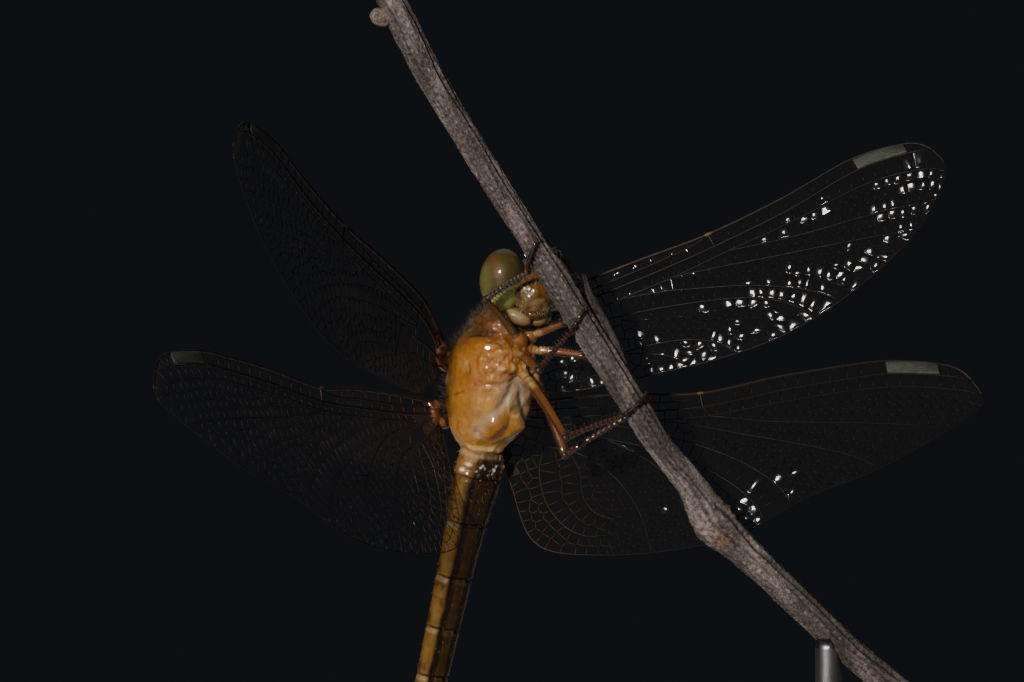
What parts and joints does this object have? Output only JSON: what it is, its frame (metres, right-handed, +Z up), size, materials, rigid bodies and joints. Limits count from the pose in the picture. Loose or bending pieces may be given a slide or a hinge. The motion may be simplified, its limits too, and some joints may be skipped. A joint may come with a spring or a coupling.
{
  "type": "perched dragonfly model",
  "caption": "Life-size orange skimmer dragonfly with spread clear wings, gripping a bare twig held up by a flat round stand with slim rods.",
  "frame": {"origin": "centre of the round stand's underside", "axes": "+Z up; +Y away from the viewer, who sees the animal's right side and underside; the left wings point toward +X"},
  "size_m": [0.0488, 0.0472, 0.065],
  "materials": {
    "cuticle": "satin golden orange",
    "abdomen": "satin amber with black lines",
    "face": "satin amber brown and yellow green",
    "eye": "glossy brown above, yellow green below",
    "feeler": "dark brown",
    "wing": "clear film with dark veins",
    "thigh": "satin orange brown",
    "shin": "satin dark red brown",
    "claw": "satin black",
    "bark": "rough grey brown bark",
    "stand_wood": "dark satin varnish",
    "stand_metal": "brushed"
  },
  "bodies": {
    "root": {"abdomen_1": "abdomen", "abdomen_10": "abdomen", "abdomen_2": "abdomen", "abdomen_3": "abdomen", "abdomen_4": "abdomen", "abdomen_5": "abdomen", "abdomen_6": "abdomen", "abdomen_7": "abdomen", "abdomen_8": "abdomen", "abdomen_9": "abdomen", "antenna_left": "feeler", "antenna_right": "feeler", "cercus_left": "feeler", "cercus_right": "feeler", "eye_left": "eye", "eye_right": "eye", "forewing_left": "wing", "forewing_right": "wing", "head": "face", "hindwing_left": "wing", "hindwing_right": "wing", "labium": "face", "labrum": "face", "leg_front_left_femur": "thigh", "leg_front_left_tarsus": "claw", "leg_front_left_tibia": "shin", "leg_front_right_femur": "thigh", "leg_front_right_tarsus": "claw", "leg_front_right_tibia": "shin", "leg_hind_left_femur": "thigh", "leg_hind_left_tarsus": "claw", "leg_hind_left_tibia": "shin", "leg_hind_right_femur": "thigh", "leg_hind_right_tarsus": "claw", "leg_hind_right_tibia": "shin", "leg_middle_left_femur": "thigh", "leg_middle_left_tarsus": "claw", "leg_middle_left_tibia": "shin", "leg_middle_right_femur": "thigh", "leg_middle_right_tarsus": "claw", "leg_middle_right_tibia": "shin", "prothorax": "cuticle", "stand_base": "stand_wood", "stand_rod_inner": "stand_metal", "stand_rod_outer": "stand_metal", "thorax": "cuticle", "twig": "bark", "twig_bud": "bark", "twig_stub": "bark"}
  },
  "joints": []
}
